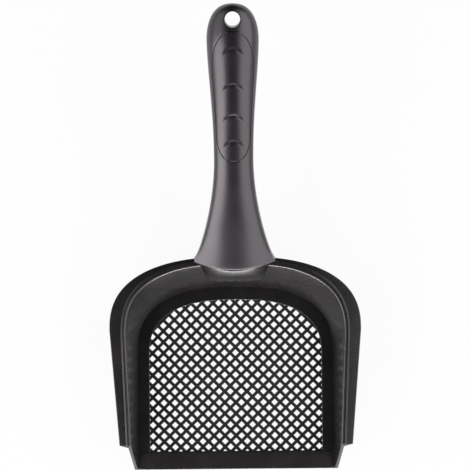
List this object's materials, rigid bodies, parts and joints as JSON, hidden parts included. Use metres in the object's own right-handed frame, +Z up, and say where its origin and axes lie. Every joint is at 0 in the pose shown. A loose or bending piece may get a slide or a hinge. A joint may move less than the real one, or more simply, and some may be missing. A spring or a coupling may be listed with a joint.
{
  "type": "beach sand scoop",
  "caption": "One-handed plastic sieve scoop: open-fronted flared pan with a diamond-hole floor panel, a raised hollow handle, an inset grip pad and a hanging hole.",
  "frame": {"origin": "under the middle of the whole scoop, on the surface that its floor rests on", "axes": "+Z up, +Y from the front lip to the hanging hole, X across the width"},
  "size_m": [0.162, 0.2975, 0.099],
  "materials": {
    "pan_plastic": "satin black moulded plastic, fine grain",
    "sieve_plastic": "satin black moulded plastic",
    "handle_plastic": "satin black moulded plastic, fine grain",
    "pad_plastic": "satin black moulded plastic, slightly softer sheen"
  },
  "bodies": {
    "root": {"pan": "pan_plastic", "sieve_panel": "sieve_plastic", "handle": "handle_plastic", "grip_pad": "pad_plastic"}
  },
  "joints": []
}
